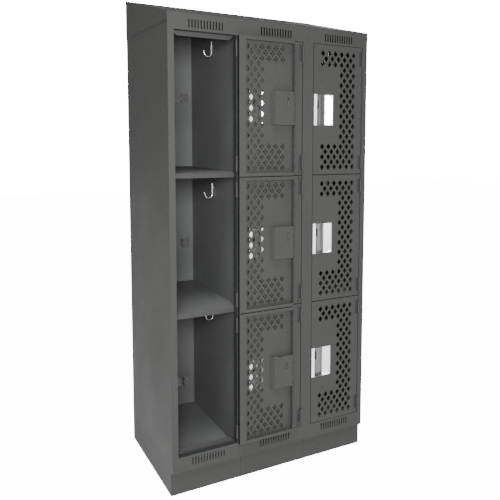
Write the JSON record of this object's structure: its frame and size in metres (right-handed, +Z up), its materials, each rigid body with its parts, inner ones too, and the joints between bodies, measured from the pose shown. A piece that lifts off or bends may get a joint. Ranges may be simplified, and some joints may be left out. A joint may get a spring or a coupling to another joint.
{
  "type": "locker cabinet",
  "caption": "Ventilated steel locker cabinet in columns and tiers, with recessed padlock handles, swinging doors, shelves, coat hooks, a closed base and a sloping hood.",
  "frame": {"origin": "on the floor, in the middle of the bounding box of the cabinet with the left column's doors folded open", "axes": "+X to the right along the front, -Y out of the front, +Z up"},
  "size_m": [0.918, 0.6396, 2.0669],
  "materials": {
    "cabinet_paint": "dark grey powder coat, low sheen",
    "handle_stainless": "brushed stainless",
    "strike_zinc": "dull zinc plate",
    "hook_chrome": "bright"
  },
  "bodies": {
    "cabinet": {"back_panel": "cabinet_paint", "base_front_left": "cabinet_paint", "base_front_middle": "cabinet_paint", "base_front_right": "cabinet_paint", "base_side_left": "cabinet_paint", "base_side_right": "cabinet_paint", "coat_hook_left_bottom": "hook_chrome", "coat_hook_left_middle": "hook_chrome", "coat_hook_left_top": "hook_chrome", "coat_hook_middle_bottom": "hook_chrome", "coat_hook_middle_middle": "hook_chrome", "coat_hook_middle_top": "hook_chrome", "coat_hook_right_bottom": "hook_chrome", "coat_hook_right_middle": "hook_chrome", "coat_hook_right_top": "hook_chrome", "divider_left_middle": "cabinet_paint", "divider_middle_right": "cabinet_paint", "floor_panel": "cabinet_paint", "front_frame_left": "cabinet_paint", "front_frame_middle": "cabinet_paint", "front_frame_right": "cabinet_paint", "hood_gable_left": "cabinet_paint", "hood_gable_right": "cabinet_paint", "hood_slope": "cabinet_paint", "shelf_left_lower": "cabinet_paint", "shelf_left_upper": "cabinet_paint", "shelf_middle_lower": "cabinet_paint", "shelf_middle_upper": "cabinet_paint", "shelf_right_lower": "cabinet_paint", "shelf_right_upper": "cabinet_paint", "side_panel_left": "cabinet_paint", "side_panel_right": "cabinet_paint", "strike_left_bottom": "strike_zinc", "strike_left_middle": "strike_zinc", "strike_left_top": "strike_zinc", "strike_middle_bottom": "strike_zinc", "strike_middle_middle": "strike_zinc", "strike_middle_top": "strike_zinc", "strike_right_bottom": "strike_zinc", "strike_right_middle": "strike_zinc", "strike_right_top": "strike_zinc", "top_panel": "cabinet_paint"},
    "door_left_bottom": {"door_panel_left_bottom": "cabinet_paint", "handle_cup_left_bottom": "handle_stainless"},
    "door_left_middle": {"door_panel_left_middle": "cabinet_paint", "handle_cup_left_middle": "handle_stainless"},
    "door_left_top": {"door_panel_left_top": "cabinet_paint", "handle_cup_left_top": "handle_stainless"},
    "door_middle_bottom": {"door_panel_middle_bottom": "cabinet_paint", "handle_cup_middle_bottom": "handle_stainless"},
    "door_middle_middle": {"door_panel_middle_middle": "cabinet_paint", "handle_cup_middle_middle": "handle_stainless"},
    "door_middle_top": {"door_panel_middle_top": "cabinet_paint", "handle_cup_middle_top": "handle_stainless"},
    "door_right_bottom": {"door_panel_right_bottom": "cabinet_paint", "handle_cup_right_bottom": "handle_stainless"},
    "door_right_middle": {"door_panel_right_middle": "cabinet_paint", "handle_cup_right_middle": "handle_stainless"},
    "door_right_top": {"door_panel_right_top": "cabinet_paint", "handle_cup_right_top": "handle_stainless"}
  },
  "joints": [
    {"name": "hinge_left_bottom", "type": "hinge", "parent": "cabinet", "child": "door_left_bottom", "pos_m": [-0.17905, -0.2938, 0.44973], "axis": [0, 0, 1], "range_deg": [-180, 0]},
    {"name": "hinge_left_middle", "type": "hinge", "parent": "cabinet", "child": "door_left_middle", "pos_m": [-0.17905, -0.2938, 1.016], "axis": [0, 0, 1], "range_deg": [-180, 0]},
    {"name": "hinge_left_top", "type": "hinge", "parent": "cabinet", "child": "door_left_top", "pos_m": [-0.17905, -0.2938, 1.58227], "axis": [0, 0, 1], "range_deg": [-180, 0]},
    {"name": "hinge_middle_bottom", "type": "hinge", "parent": "cabinet", "child": "door_middle_bottom", "pos_m": [0.12575, -0.2938, 0.44973], "axis": [0, 0, 1], "range_deg": [0, 1.5]},
    {"name": "hinge_middle_middle", "type": "hinge", "parent": "cabinet", "child": "door_middle_middle", "pos_m": [0.12575, -0.2938, 1.016], "axis": [0, 0, 1], "range_deg": [0, 1.5]},
    {"name": "hinge_middle_top", "type": "hinge", "parent": "cabinet", "child": "door_middle_top", "pos_m": [0.12575, -0.2938, 1.58227], "axis": [0, 0, 1], "range_deg": [0, 1.5]},
    {"name": "hinge_right_bottom", "type": "hinge", "parent": "cabinet", "child": "door_right_bottom", "pos_m": [0.43055, -0.2938, 0.44973], "axis": [0, 0, 1], "range_deg": [0, 180]},
    {"name": "hinge_right_middle", "type": "hinge", "parent": "cabinet", "child": "door_right_middle", "pos_m": [0.43055, -0.2938, 1.016], "axis": [0, 0, 1], "range_deg": [0, 180]},
    {"name": "hinge_right_top", "type": "hinge", "parent": "cabinet", "child": "door_right_top", "pos_m": [0.43055, -0.2938, 1.58227], "axis": [0, 0, 1], "range_deg": [0, 180]}
  ]
}
